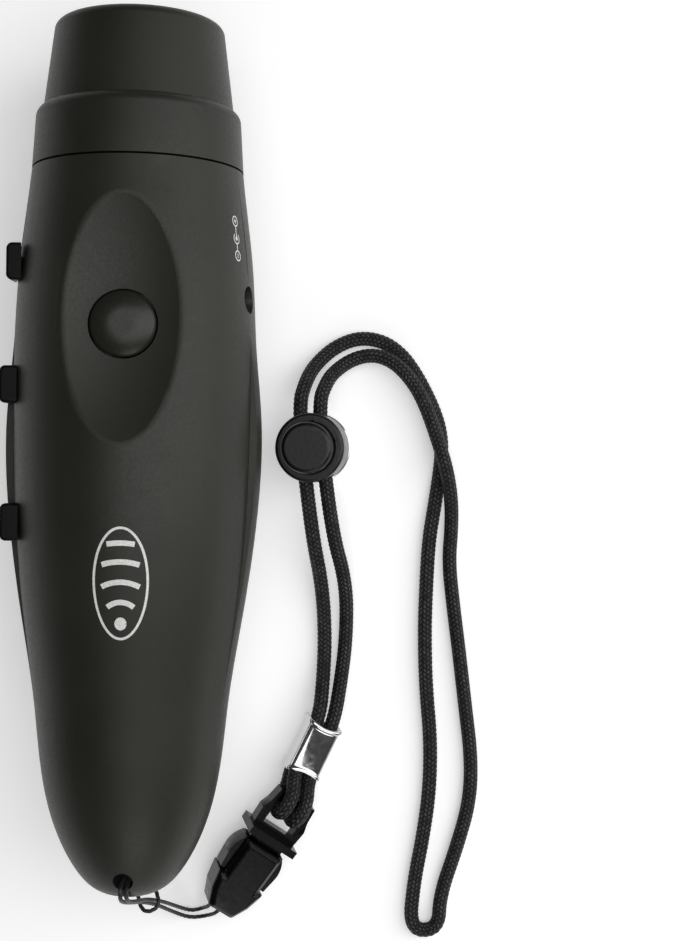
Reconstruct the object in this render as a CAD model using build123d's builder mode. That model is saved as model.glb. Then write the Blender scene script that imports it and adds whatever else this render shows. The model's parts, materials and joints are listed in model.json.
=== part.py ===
from build123d import *
import os
from math import atan2, cos, degrees, pi, radians, sin, tan

# Electronic training whistle with a wrist lanyard, lying on its back. Millimetres.
# +Z up through the thumb button, +Y along the whistle to its mouth, origin on the rest face
# under the long axis. The lanyard lies beside the whistle on the same surface.

os.makedirs("parts", exist_ok=True)

# ---------------------------------------------------------------- driving dimensions
# Whistle body
AXIS_Z = 18.1                # height of the long axis over the rest face
WALL = 1.8                   # casing wall
SPLIT_Z = AXIS_Z + 4.3       # plane where the two casing halves meet
CASING_END_Y = 39.4          # front shoulder of the casing
SPIGOT_RADIUS = 13.3         # neck of the casing inside the collar
SPIGOT_BORE = 11.5
SPIGOT_END_Y = 45.5
TIP_Y = -67.1
SIDE_GAP = 0.15              # gap between a knob and the casing

# Thumb dish: a shallow trough bent along the whistle
DISH_PIVOT_Y = 19.3
DISH_PIVOT_Z = 91.3
DISH_LENGTH_RADIUS = 59.0
DISH_CROSS_RADIUS = 30.0
DISH_RIM_RADIUS = 1.6        # rounding where the dish meets the casing
DISH_FLOOR_Z = DISH_PIVOT_Z - DISH_LENGTH_RADIUS
DISH_HALF_WIDTH = 14.0
DISH_HALF_ANGLE = 25

# Thumb button and its switch
BUTTON_Y = 15.9
BUTTON_RADIUS = 4.65
BUTTON_GAP = 0.25
BUTTON_TRAVEL = 0.6
BUTTON_TOP_Z = 34.2
BUTTON_FLAT_RADIUS = 1.5     # the flat middle of its top
BUTTON_CROWN = 0.75          # how far its top falls from there to the rounded edge
BUTTON_EDGE = 0.35           # width of that edge
BUTTON_EDGE_RADIUS = 0.7
BUTTON_SIDE_Z = 33.0
BUTTON_FLANGE_Z = 29.1       # underside of the flange that keeps the button in
BUTTON_FLANGE = 1.1
BUTTON_FLANGE_RADIUS = 5.8
BUTTON_HOLLOW_RADIUS = 3.6
BUTTON_HOLLOW_Z = 31.8
STEM_RADIUS = 1.7
PLUNGER_TOP_Z = 26.0
TACT_SIZE = 6.2              # of the square switch under the button
TACT_HEIGHT = 4.2
TACT_WELL_RADIUS = 2.45
DOME_RIM_Z = 20.95           # the snap dome's rim on the floor of its switch
DOME_RADIUS = 2.3
DOME_HEIGHT = 0.85
DOME_SHEET = 0.14            # its thickness

# Circuit board
BOARD_Z = 19.0
BOARD_THICKNESS = 1.2
BOARD_TOP_Z = BOARD_Z + BOARD_THICKNESS
BOARD_HALF_WIDTH = 11.8
BOARD_Y0 = -30.0
BOARD_Y1 = 27.0
BOARD_POSTS = [(-9.6, -22.4), (9.6, -22.4), (-9.6, 14.0), (9.6, 14.0)]
BOARD_POST_RADIUS = 1.9
BOARD_POST_HEIGHT = 12.0
BOARD_SCREW = {"radius": 0.8, "length": 6.5, "head_radius": 1.7, "head": 1.1}
BOARD_SCREW_HOLE = 1.0       # radius in the board
BOARD_PILOT = 0.85           # radius in the posts
BOARD_PILOT_DEPTH = 6.0

# Casing posts and the screws that hold the halves together
CASING_POSTS = [(-5.5, -42.0), (5.5, -42.0)]
FRONT_POST_RADIUS = 2.5
FRONT_POST_HEIGHT = 6.6
REAR_POST_RADIUS = 2.9
REAR_POST_HEIGHT = 15.2
CASING_SCREW = {"radius": 1.0, "length": 15.0, "head_radius": 1.85, "head": 1.5}
CASING_PILOT = 1.05
CASING_PILOT_DEPTH = 5.6
CASING_CLEARANCE = 1.15
SCREW_WELL_RADIUS = 2.0
SCREW_SEAT_Z = 12.4

# Battery cell
CHIP_SIZE = (4.0, 5.0, 1.4)
CHIP_Y = -6.0
CHIP_LEG_STEP = 1.27
COIL_PLACE = (3.0, -20.0)
COIL_RADIUS = 3.6
COIL_CORE_RADIUS = 2.9
COIL_HEIGHT = 5.0
CELL_RADIUS = 7.0
CELL_Z = 11.6
CELL_Y0 = -26.5
CELL_Y1 = 23.5

# Side switches: middle of the knob at rest, its travel towards the tail, half the length of its
# slider, how far out it reaches from the long axis, and the casing radius it has to clear
SWITCHES = {
    "power": {"y": 25.3, "travel": 1.8, "slider": 0.9, "reach": 17.8, "casing": 17.4},
    "volume": {"y": 7.7, "travel": 6.0, "slider": 2.3, "reach": 18.6, "casing": 17.8},
    "tone": {"y": -12.05, "travel": 4.6, "slider": 2.3, "reach": 18.3, "casing": 17.45},
}
KNOB_LENGTH = 5.4
KNOB_HEIGHT = 3.7
KNOB_DEPTH = 3.4             # from its outer face into the casing's curve
KNOB_CORNER = 0.9            # rounding of its outer corners
KNOB_EDGE = 0.45             # and of the edges round its outer face
NOTCH_HEIGHT = 1.5
SWITCH_X0 = -13.2            # outer face of the switch cans
SWITCH_X1 = -9.4

# Charging jack, along +X at the parting plane
JACK_Y = 20.5
JACK_ENTRY_RADIUS = 2.0
JACK_BORE_RADIUS = 1.75
JACK_NOSE_RADIUS = 3.0
JACK_FRONT_X = 13.4
JACK_BACK_X = 4.4
JACK_WIDTH = 6.0
JACK_HEIGHT = 5.4
JACK_DEPTH = 8.0             # of its bore, from the nose
JACK_PIN_RADIUS = 0.65
JACK_PIN_LENGTH = 4.6
JACK_BOSS_THICKNESS = 1.9

# Collar and mouthpiece
COLLAR_Y0 = 39.7
COLLAR_SHOULDER_Y = 46.9
COLLAR_Y1 = 48.5
COLLAR_RADIUS = 15.5
COLLAR_SHOULDER_RADIUS = 15.05
COLLAR_TOP_RADIUS = 14.05
COLLAR_CROWN = 1.7           # radius of the rounded shoulder
COLLAR_BORE = SPIGOT_RADIUS + 0.05
MOUTH_Y = 61.3
MOUTHPIECE_Y0 = SPIGOT_END_Y + 0.2
MOUTH_BASE_RADIUS = 13.95
MOUTH_RADIUS = 12.5
MOUTH_LIP = 1.5              # rounding of the mouth's rim
MOUTH_INNER = 10.8
MOUTH_THROAT = 10.2
MOUTH_CHAMFER = 0.8
MOUTH_BORE = 11.7            # room for the grille and the horn behind the throat

# Grille, horn and speaker behind the mouth
GRILLE_Y = 55.5
GRILLE_THICKNESS = 1.0
GRILLE_RADIUS = 11.6
GRILLE_HOLE = 0.75
GRILLE_RINGS = 3
GRILLE_RING_STEP = 2.6
HORN_Y = 46.6
HORN_WALL = 1.0
HORN_THROAT = 5.0
SPEAKER_RADIUS = 11.4
SPEAKER_OPENING = 9.3
SPEAKER_FRONT_Y = 45.9
SPEAKER_BACK_Y = 38.2
GASKET_THICKNESS = 0.7
MAGNET_RADIUS = 6.5
MAGNET_Y = 31.0
MAGNET_LENGTH = SPEAKER_BACK_Y - MAGNET_Y

# Lanyard tunnel through the tail
TUNNEL_Y = -63.4
TUNNEL_RADIUS = 1.45

# Lanyard
CORD = 2.3                   # diameter of the braided wrist cord
THREAD = 0.65                # diameter of the thin loop on the tail
BUCKLE_TIP = (12.0, -72.4)
BUCKLE_Z = 4.55
BUCKLE_ANGLE = 54.3          # direction of the buckle from +X, in degrees
BUCKLE_ROLL = 17.0           # its left side is lifted, in degrees
BUCKLE_HALF_THICKNESS = 3.2
BAR_S = 20.0                 # the bar that the wrist cord folds round, along the buckle
BAR_RADIUS = 1.0
FOLD = 2.3                   # distance of the folded cord's line from the bar's middle
FOLD_STRAND = 1.35           # half the distance between the two strands on the bar
STRAND = 1.25                # and in the ferrule, across and up
BUCKLE_TRAVEL = 9.0          # how far the strap's half slides out of the other half
SHELL_END = 12.0             # mouth of the buckle's housing, along the buckle
SHELL_SIDE = 5.7             # where its side windows for the latch arms begin
PLATE_HALF_WIDTH = 3.3       # of its two plates over and under the latch arms
WINDOW_HALF_HEIGHT = 1.9
ARM_INNER = 3.05             # inner face of a latch arm, off the buckle's middle
ARM_OUTER = 3.6              # its outer face at the root
ARM_ROOT = 11.8              # its root, along the buckle

FERRULE_START = (24.6, -51.6)
FERRULE_END = (28.4, -43.5)
FERRULE_Z = 3.45
FERRULE_ROLL = 14.0
FERRULE_WIDTH = 5.4
FERRULE_WALL = 0.3
RIM_LENGTH = 0.9             # the rolled rims at the ferrule's two ends
RIM_HEIGHT = 0.3

# Cord lock: leaning barrel with the two strands through it
LOCK_CENTRE = (26.0, -0.6)
LOCK_Z = 7.0                 # height of the strands inside it
LOCK_LEAN = 7.0              # degrees, the top leans to -X
LOCK_HEADING = 7.0           # degrees, its lower end turns to +X
LOCK_RADIUS = 5.35
LOCK_BORE = 4.1
LOCK_BOTTOM = -6.2           # below the strands
LOCK_TOP = 3.4               # rim above the strands
PLUNGER_RADIUS = 3.95
PLUNGER_TOP = 6.8
LOCK_STRAND = 1.55           # half the distance between the strands in the lock
LOCK_TRAVEL = 5.0            # along the straight part of the strands, towards the buckle
PRESS_TRAVEL = 2.0
CORD_GAP = 0.2               # round the strands in the cord lock

WHISTLE_AXIS = Axis((0, 0, AXIS_Z), (0, 1, 0))
DISH_AXIS = Axis((0, DISH_PIVOT_Y, DISH_PIVOT_Z), (1, 0, 0))
AXIS_PLANE = Plane.XY.offset(AXIS_Z)

# Outlines as (radius, y), from the front shoulder to the tip
SHOULDER = (15.5, CASING_END_Y)
TAIL_START = (14.45, -37.0)
TAIL_SLOPE = (-0.136, -1)
FRONT_OUTLINE = [SHOULDER, (17.2, 24), (17.75, 3), (16.95, -17), TAIL_START]
REAR_OUTLINE = [SHOULDER, (17.15, 25), (17.75, 14), (18.65, 3), (18.1, -12), (16.2, -26), TAIL_START]
TAIL_OUTLINE = [TAIL_START, (11.75, -54.8), (7.7, -63.4), (0, TIP_Y)]
CAVITY_OUTLINE = [(13.7, 35.5), (15.3, 24), (15.9, 3), (15.1, -17), (12.6, -37), (9.3, -51), (0, -57.5)]


def write_piece(piece, name):
    """Label a finished piece and write it as its own file."""
    piece.part.label = name
    export_step(piece.part, f"parts/{name}.step")


def dome(top, radius, height):
    """Arc from a dome's top on the axis down to its rim, as (radius, level) points."""
    sphere = (radius**2 + height**2) / (2 * height)
    middle = radius / 2
    middle_z = top - sphere + (sphere**2 - middle**2) ** 0.5
    return ThreePointArc((0, top), (middle, middle_z), (radius, top - height))


def across(y):
    """Plane across the whistle at y, facing the mouth; its local x is +X and its local y is -Z."""
    return Plane(origin=(0, y, AXIS_Z), x_dir=(1, 0, 0), z_dir=(0, 1, 0))


def spindle(outline):
    """The solid of a whole casing outline turned about the long axis, with its spigot."""
    with BuildPart() as turned:
        with BuildSketch(AXIS_PLANE):
            with BuildLine():
                Spline(outline, tangents=[(0.1, -1), TAIL_SLOPE])
                Spline(TAIL_OUTLINE, tangents=[TAIL_SLOPE, (-1, 0)])
                Polyline(
                    (0, TIP_Y),
                    (0, SPIGOT_END_Y),
                    (SPIGOT_RADIUS, SPIGOT_END_Y),
                    (SPIGOT_RADIUS, CASING_END_Y),
                    SHOULDER,
                )
            make_face()
        revolve(axis=WHISTLE_AXIS)
    return turned.part


def dish_tool(extra):
    """The trough that cuts the thumb dish, grown by extra on every side."""
    floor_z = DISH_FLOOR_Z - extra
    side_z = floor_z + DISH_CROSS_RADIUS - (DISH_CROSS_RADIUS**2 - DISH_HALF_WIDTH**2) ** 0.5
    with BuildPart() as trough:
        with BuildSketch(Plane.XZ.offset(-DISH_PIVOT_Y)):
            with BuildLine():
                ThreePointArc((-DISH_HALF_WIDTH, side_z), (0, floor_z), (DISH_HALF_WIDTH, side_z))
                Polyline((DISH_HALF_WIDTH, side_z), (DISH_HALF_WIDTH, 45), (-DISH_HALF_WIDTH, 45),
                         (-DISH_HALF_WIDTH, side_z))
            make_face()
        revolve(axis=DISH_AXIS, revolution_arc=2 * DISH_HALF_ANGLE)
    return trough.part.rotate(DISH_AXIS, -DISH_HALF_ANGLE)


def notch_range(switch):
    """First and last y of the notch that a switch's slider runs in."""
    return (switch["y"] - switch["travel"] - switch["slider"] - 0.2, switch["y"] + switch["slider"] + 0.2)


# ---------------------------------------------------------------- casing halves
with BuildPart() as cavity:
    with BuildSketch(AXIS_PLANE):
        with BuildLine():
            Spline(CAVITY_OUTLINE, tangents=[(0.2, -1), (-1, 0)])
            Polyline((0, -57.5), (0, SPIGOT_END_Y + 1), (SPIGOT_BORE, SPIGOT_END_Y + 1), (SPIGOT_BORE, 38),
                     CAVITY_OUTLINE[0])
        make_face()
    revolve(axis=WHISTLE_AXIS)
    add(dish_tool(WALL), mode=Mode.SUBTRACT)

with BuildPart() as jack_boss:
    with BuildSketch(Plane.YZ.offset(JACK_FRONT_X + 0.1)):
        with Locations((JACK_Y, SPLIT_Z)):
            Circle(JACK_NOSE_RADIUS + 0.4)
    extrude(amount=JACK_BOSS_THICKNESS)

with BuildPart() as openings:
    with BuildSketch(Plane.YZ.offset(JACK_FRONT_X - 0.5)):
        with Locations((JACK_Y, SPLIT_Z)):
            Circle(JACK_ENTRY_RADIUS)
    extrude(amount=8)
    with BuildSketch(Plane.XY):
        with Locations((0, TUNNEL_Y)):
            Circle(TUNNEL_RADIUS)
    extrude(amount=40)

with BuildPart() as front_casing:
    add(spindle(FRONT_OUTLINE))
    add(dish_tool(0), mode=Mode.SUBTRACT)
    fillet(front_casing.edges(Select.LAST).filter_by(GeomType.BSPLINE), DISH_RIM_RADIUS)
    add(cavity.part, mode=Mode.SUBTRACT)
    add(jack_boss.part)
    with BuildSketch(Plane.XY.offset(BUTTON_FLANGE_Z)):
        with Locations((0, BUTTON_Y)):
            Circle(BUTTON_RADIUS + BUTTON_GAP)
    extrude(amount=10, mode=Mode.SUBTRACT)
    add(openings.part, mode=Mode.SUBTRACT)
    for switch in SWITCHES.values():
        notch_start, notch_end = notch_range(switch)
        with BuildSketch(Plane.XY.offset(SPLIT_Z)):
            with Locations((-15.5, (notch_start + notch_end) / 2)):
                RectangleRounded(9, notch_end - notch_start, 0.3)
        extrude(amount=NOTCH_HEIGHT, mode=Mode.SUBTRACT)
    split(bisect_by=Plane.XY.offset(SPLIT_Z), keep=Keep.TOP)
    with BuildSketch(Plane.XY.offset(SPLIT_Z)):
        with Locations(CASING_POSTS):
            Circle(FRONT_POST_RADIUS)
    extrude(amount=FRONT_POST_HEIGHT)
    with BuildSketch(Plane.XY.offset(SPLIT_Z)):
        with Locations(CASING_POSTS):
            Circle(CASING_PILOT)
    extrude(amount=CASING_PILOT_DEPTH, mode=Mode.SUBTRACT)
write_piece(front_casing, "front_casing")

with BuildPart() as rear_casing:
    add(spindle(REAR_OUTLINE))
    add(cavity.part, mode=Mode.SUBTRACT)
    add(jack_boss.part)
    add(openings.part, mode=Mode.SUBTRACT)
    split(bisect_by=Plane.XY.offset(SPLIT_Z), keep=Keep.BOTTOM)
    split(bisect_by=Plane.XY, keep=Keep.TOP)
    with BuildSketch(Plane.XY.offset(SPLIT_Z)):
        with Locations(CASING_POSTS):
            Circle(REAR_POST_RADIUS)
    extrude(amount=-REAR_POST_HEIGHT)
    with BuildSketch(Plane.XY.offset(SPLIT_Z)):
        with Locations(CASING_POSTS):
            Circle(CASING_CLEARANCE)
    extrude(amount=SCREW_SEAT_Z - SPLIT_Z, mode=Mode.SUBTRACT)
    with BuildSketch(Plane.XY):
        with Locations(CASING_POSTS):
            Circle(SCREW_WELL_RADIUS)
    extrude(amount=SCREW_SEAT_Z, mode=Mode.SUBTRACT)
    with BuildSketch(Plane.XY.offset(BOARD_Z)):
        with Locations(BOARD_POSTS):
            Circle(BOARD_POST_RADIUS)
    extrude(amount=-BOARD_POST_HEIGHT)
    with BuildSketch(Plane.XY.offset(BOARD_Z)):
        with Locations(BOARD_POSTS):
            Circle(BOARD_PILOT)
    extrude(amount=-BOARD_PILOT_DEPTH, mode=Mode.SUBTRACT)
write_piece(rear_casing, "rear_casing")


def screws(places, seat_z, up, screw):
    """Cross-headed screws at places, their heads seated at seat_z; up is the head's side, 1 or -1."""
    slot_length = 1.3 * screw["head_radius"]
    slot_width = 0.25 * screw["head_radius"]
    with BuildPart() as row:
        with BuildSketch(Plane.XY.offset(seat_z)):
            with Locations(places):
                Circle(screw["head_radius"])
        extrude(amount=up * screw["head"])
        with BuildSketch(Plane.XY.offset(seat_z)):
            with Locations(places):
                Circle(screw["radius"])
        extrude(amount=-up * screw["length"])
        with BuildSketch(Plane.XY.offset(seat_z + up * screw["head"])):
            with Locations(places):
                Rectangle(slot_length, slot_width)
                Rectangle(slot_width, slot_length)
        extrude(amount=-up * screw["head"] / 2, mode=Mode.SUBTRACT)
    return row


casing_screws = screws(CASING_POSTS, SCREW_SEAT_Z, -1, CASING_SCREW)
write_piece(casing_screws, "casing_screws")

# ---------------------------------------------------------------- collar and mouthpiece
with BuildPart() as collar_ring:
    with BuildSketch(AXIS_PLANE):
        with BuildLine():
            Polyline(
                (COLLAR_BORE, COLLAR_Y0),
                (COLLAR_RADIUS, COLLAR_Y0),
                (COLLAR_SHOULDER_RADIUS, COLLAR_SHOULDER_Y),
            )
            RadiusArc((COLLAR_SHOULDER_RADIUS, COLLAR_SHOULDER_Y), (COLLAR_TOP_RADIUS, COLLAR_Y1),
                      -COLLAR_CROWN)
            Polyline(
                (COLLAR_TOP_RADIUS, COLLAR_Y1),
                (COLLAR_TOP_RADIUS, MOUTHPIECE_Y0),
                (COLLAR_BORE, MOUTHPIECE_Y0),
                (COLLAR_BORE, COLLAR_Y0),
            )
        make_face()
    revolve(axis=WHISTLE_AXIS)
write_piece(collar_ring, "collar_ring")

with BuildPart() as mouthpiece:
    with BuildSketch(AXIS_PLANE):
        with BuildLine():
            Polyline(
                (MOUTH_BASE_RADIUS + 0.05, MOUTHPIECE_Y0 + 0.05),
                (MOUTH_BASE_RADIUS, COLLAR_Y1),
                (MOUTH_RADIUS, MOUTH_Y - MOUTH_LIP + 0.1),
            )
            RadiusArc((MOUTH_RADIUS, MOUTH_Y - MOUTH_LIP + 0.1), (MOUTH_RADIUS - MOUTH_LIP, MOUTH_Y),
                      -MOUTH_LIP)
            Polyline(
                (MOUTH_RADIUS - MOUTH_LIP, MOUTH_Y),
                (MOUTH_INNER, MOUTH_Y),
                (MOUTH_THROAT, MOUTH_Y - MOUTH_CHAMFER),
                (MOUTH_THROAT, GRILLE_Y + GRILLE_THICKNESS + 0.1),
                (MOUTH_BORE, GRILLE_Y + GRILLE_THICKNESS + 0.1),
                (MOUTH_BORE, MOUTHPIECE_Y0 + 0.05),
                (MOUTH_BASE_RADIUS + 0.05, MOUTHPIECE_Y0 + 0.05),
            )
        make_face()
    revolve(axis=WHISTLE_AXIS)
write_piece(mouthpiece, "mouthpiece")

with BuildPart() as speaker_grille:
    with BuildSketch(across(GRILLE_Y)):
        Circle(GRILLE_RADIUS)
        Circle(GRILLE_HOLE, mode=Mode.SUBTRACT)
        for ring in range(1, GRILLE_RINGS + 1):
            with PolarLocations(GRILLE_RING_STEP * ring, 6 * ring):
                Circle(GRILLE_HOLE, mode=Mode.SUBTRACT)
    extrude(amount=GRILLE_THICKNESS)
write_piece(speaker_grille, "speaker_grille")

with BuildPart() as horn:
    with BuildSketch(AXIS_PLANE):
        with BuildLine():
            Spline([(HORN_THROAT, HORN_Y), (6.6, 51.0), (10.9, 55.3)], tangents=[(0, 1), (1.4, 1)])
            Polyline((10.9, 55.3), (GRILLE_RADIUS, 55.3), (GRILLE_RADIUS, 54.6))
            Spline(
                [(GRILLE_RADIUS, 54.6), (7.6, 51.0), (HORN_THROAT + HORN_WALL, HORN_Y + HORN_WALL)],
                tangents=[(-1.4, -1), (0, -1)],
            )
            Polyline(
                (HORN_THROAT + HORN_WALL, HORN_Y + HORN_WALL),
                (GRILLE_RADIUS, HORN_Y + HORN_WALL),
                (GRILLE_RADIUS, HORN_Y),
                (HORN_THROAT, HORN_Y),
            )
        make_face()
    revolve(axis=WHISTLE_AXIS)
write_piece(horn, "horn")

with BuildPart() as speaker_gasket:
    with BuildSketch(across(SPEAKER_FRONT_Y)):
        Circle(SPEAKER_RADIUS)
        Circle(SPEAKER_OPENING, mode=Mode.SUBTRACT)
    extrude(amount=GASKET_THICKNESS)
write_piece(speaker_gasket, "speaker_gasket")

with BuildPart() as speaker_frame:
    with BuildSketch(AXIS_PLANE):
        with BuildLine():
            Polyline(
                (SPEAKER_OPENING + 0.1, SPEAKER_FRONT_Y),
                (SPEAKER_RADIUS, SPEAKER_FRONT_Y),
                (SPEAKER_RADIUS, SPEAKER_FRONT_Y - 1.2),
                (SPEAKER_RADIUS - 1.2, SPEAKER_FRONT_Y - 1.2),
                (8.2, SPEAKER_BACK_Y),
                (4.0, SPEAKER_BACK_Y),
                (4.0, SPEAKER_BACK_Y + 1.0),
                (7.5, SPEAKER_BACK_Y + 1.0),
                (9.2, SPEAKER_FRONT_Y - 1.0),
                (SPEAKER_OPENING + 0.1, SPEAKER_FRONT_Y),
            )
        make_face()
    revolve(axis=WHISTLE_AXIS)
write_piece(speaker_frame, "speaker_frame")

with BuildPart() as speaker_magnet:
    with BuildSketch(across(MAGNET_Y)):
        Circle(MAGNET_RADIUS)
    extrude(amount=MAGNET_LENGTH)
    chamfer(speaker_magnet.edges().filter_by(GeomType.CIRCLE), 0.4)
write_piece(speaker_magnet, "speaker_magnet")

with BuildPart() as speaker_diaphragm:
    with BuildSketch(AXIS_PLANE):
        with BuildLine():
            dome(46.2, 8.9, 1.6)
            Line((8.9, 44.6), (8.7, 44.4))
            dome(45.9, 8.7, 1.5)
            Line((0, 45.9), (0, 46.2))
        make_face()
    revolve(axis=WHISTLE_AXIS)
write_piece(speaker_diaphragm, "speaker_diaphragm")

# ---------------------------------------------------------------- circuit board and what is on it
with BuildPart() as circuit_board:
    with BuildSketch(Plane.XY.offset(BOARD_Z)):
        with Locations((0, (BOARD_Y0 + BOARD_Y1) / 2)):
            RectangleRounded(2 * BOARD_HALF_WIDTH, BOARD_Y1 - BOARD_Y0, 2)
        with Locations(BOARD_POSTS):
            Circle(BOARD_SCREW_HOLE, mode=Mode.SUBTRACT)
    extrude(amount=BOARD_THICKNESS)
write_piece(circuit_board, "circuit_board")

board_screws = screws(BOARD_POSTS, BOARD_TOP_Z, 1, BOARD_SCREW)
write_piece(board_screws, "board_screws")

with BuildPart() as driver_chip:
    with BuildSketch(Plane.XY.offset(BOARD_TOP_Z)):
        with Locations((0, CHIP_Y)):
            Rectangle(CHIP_SIZE[0], CHIP_SIZE[1])
    extrude(amount=CHIP_SIZE[2])
    with BuildSketch(Plane.XY.offset(BOARD_TOP_Z)):
        for side in (-1, 1):
            with Locations((side * (CHIP_SIZE[0] + 1) / 2, CHIP_Y)):
                with GridLocations(1, CHIP_LEG_STEP, 1, 4):
                    Rectangle(1.2, 0.45)
    extrude(amount=0.3)
write_piece(driver_chip, "driver_chip")

with BuildPart() as boost_coil:
    with BuildSketch(Plane.XY.offset(BOARD_TOP_Z)):
        with Locations(COIL_PLACE):
            Circle(COIL_RADIUS)
    extrude(amount=COIL_HEIGHT)
    with BuildSketch(Plane.XY.offset(BOARD_TOP_Z + 1.0)):
        with Locations(COIL_PLACE):
            Circle(COIL_RADIUS)
            Circle(COIL_CORE_RADIUS, mode=Mode.SUBTRACT)
    extrude(amount=COIL_HEIGHT - 2.0, mode=Mode.SUBTRACT)
write_piece(boost_coil, "boost_coil")

with BuildPart() as tact_switch:
    with BuildSketch(Plane.XY.offset(BOARD_TOP_Z)):
        with Locations((0, BUTTON_Y)):
            RectangleRounded(TACT_SIZE, TACT_SIZE, 0.5)
    extrude(amount=TACT_HEIGHT)
    with BuildSketch(Plane.XY.offset(BOARD_TOP_Z + 0.7)):
        with Locations((0, BUTTON_Y)):
            Circle(TACT_WELL_RADIUS)
    extrude(amount=2.5, mode=Mode.SUBTRACT)
    with BuildSketch(Plane.XY.offset(BOARD_TOP_Z + 1)):
        with Locations((0, BUTTON_Y)):
            Circle(STEM_RADIUS + 0.08)
    extrude(amount=4, mode=Mode.SUBTRACT)
write_piece(tact_switch, "tact_switch")

with BuildPart() as snap_dome:
    with BuildSketch(Plane.XZ.offset(-BUTTON_Y)):
        with BuildLine():
            dome(DOME_RIM_Z + DOME_HEIGHT, DOME_RADIUS, DOME_HEIGHT)
            Line((DOME_RADIUS, DOME_RIM_Z), (DOME_RADIUS - 0.15, DOME_RIM_Z))
            dome(DOME_RIM_Z + DOME_HEIGHT - DOME_SHEET, DOME_RADIUS - 0.15, DOME_HEIGHT - DOME_SHEET)
            Line((0, DOME_RIM_Z + DOME_HEIGHT - DOME_SHEET), (0, DOME_RIM_Z + DOME_HEIGHT))
        make_face()
    revolve(axis=Axis((0, BUTTON_Y, 0), (0, 0, 1)))
write_piece(snap_dome, "snap_dome")

PLUNGER_FLANGE_Z = DOME_RIM_Z + 0.75 + BUTTON_TRAVEL
with BuildPart() as tact_plunger:
    with BuildSketch(Plane.XZ.offset(-BUTTON_Y)):
        with BuildLine():
            Polyline(
                (0, DOME_RIM_Z + 0.9),
                (0.6, DOME_RIM_Z + 0.9),
                (0.6, PLUNGER_FLANGE_Z),
                (2.35, PLUNGER_FLANGE_Z),
                (2.35, PLUNGER_FLANGE_Z + 1.0),
                (STEM_RADIUS, PLUNGER_FLANGE_Z + 1.0),
                (STEM_RADIUS, PLUNGER_TOP_Z),
                (0, PLUNGER_TOP_Z),
                (0, DOME_RIM_Z + 0.9),
            )
        make_face()
    revolve(axis=Axis((0, BUTTON_Y, 0), (0, 0, 1)))
write_piece(tact_plunger, "tact_plunger")

with BuildPart() as main_button:
    with BuildSketch(Plane.XZ.offset(-BUTTON_Y)):
        with BuildLine():
            Line((0, BUTTON_TOP_Z), (BUTTON_FLAT_RADIUS, BUTTON_TOP_Z))
            TangentArc(
                (BUTTON_FLAT_RADIUS, BUTTON_TOP_Z),
                (BUTTON_RADIUS - BUTTON_EDGE, BUTTON_TOP_Z - BUTTON_CROWN),
                tangent=(1, 0),
            )
            RadiusArc(
                (BUTTON_RADIUS - BUTTON_EDGE, BUTTON_TOP_Z - BUTTON_CROWN),
                (BUTTON_RADIUS, BUTTON_SIDE_Z),
                BUTTON_EDGE_RADIUS,
            )
            Polyline(
                (BUTTON_RADIUS, BUTTON_SIDE_Z),
                (BUTTON_RADIUS, BUTTON_FLANGE_Z + BUTTON_FLANGE),
                (BUTTON_FLANGE_RADIUS, BUTTON_FLANGE_Z + BUTTON_FLANGE),
                (BUTTON_FLANGE_RADIUS, BUTTON_FLANGE_Z),
                (BUTTON_HOLLOW_RADIUS, BUTTON_FLANGE_Z),
                (BUTTON_HOLLOW_RADIUS, BUTTON_HOLLOW_Z),
                (STEM_RADIUS, BUTTON_HOLLOW_Z),
                (STEM_RADIUS, PLUNGER_TOP_Z),
                (0, PLUNGER_TOP_Z),
                (0, BUTTON_TOP_Z),
            )
        make_face()
    revolve(axis=Axis((0, BUTTON_Y, 0), (0, 0, 1)))
write_piece(main_button, "main_button")

for name, switch in SWITCHES.items():
    notch_start, notch_end = notch_range(switch)
    middle = (notch_start + notch_end) / 2
    with BuildPart() as can:
        with BuildSketch(Plane.XY.offset(BOARD_TOP_Z)):
            with Locations(((SWITCH_X0 + SWITCH_X1) / 2, middle)):
                Rectangle(SWITCH_X1 - SWITCH_X0, notch_end - notch_start + 2)
        extrude(amount=SPLIT_Z + NOTCH_HEIGHT + 0.6 - BOARD_TOP_Z)
        with BuildSketch(Plane.XY.offset(SPLIT_Z)):
            with Locations((SWITCH_X0 + 1, middle)):
                Rectangle(3, notch_end - notch_start)
        extrude(amount=NOTCH_HEIGHT, mode=Mode.SUBTRACT)
    write_piece(can, f"{name}_switch")

    with BuildPart() as knob:
        with BuildSketch(Plane.XY.offset(SPLIT_Z + SIDE_GAP)):
            with Locations((-switch["reach"] + KNOB_DEPTH / 2, switch["y"])):
                Rectangle(KNOB_DEPTH, KNOB_LENGTH)
        extrude(amount=KNOB_HEIGHT)
        outer_corners = knob.edges().filter_by(Axis.Z).group_by(Axis.X)[0]
        fillet(outer_corners, KNOB_CORNER)
        top_edges = knob.faces().sort_by(Axis.Z)[-1].edges()
        fillet(top_edges.group_by(Axis.X)[0], KNOB_EDGE)
        with BuildSketch(across(switch["y"] - KNOB_LENGTH)):
            Circle(switch["casing"] + SIDE_GAP)
        extrude(amount=2 * KNOB_LENGTH, mode=Mode.SUBTRACT)
        with BuildSketch(Plane.XY.offset(SPLIT_Z + SIDE_GAP)):
            with Locations((-14.6, switch["y"])):
                Rectangle(6.2, 2 * switch["slider"])
        extrude(amount=NOTCH_HEIGHT - 2 * SIDE_GAP)
    write_piece(knob, f"{name}_knob")

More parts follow.
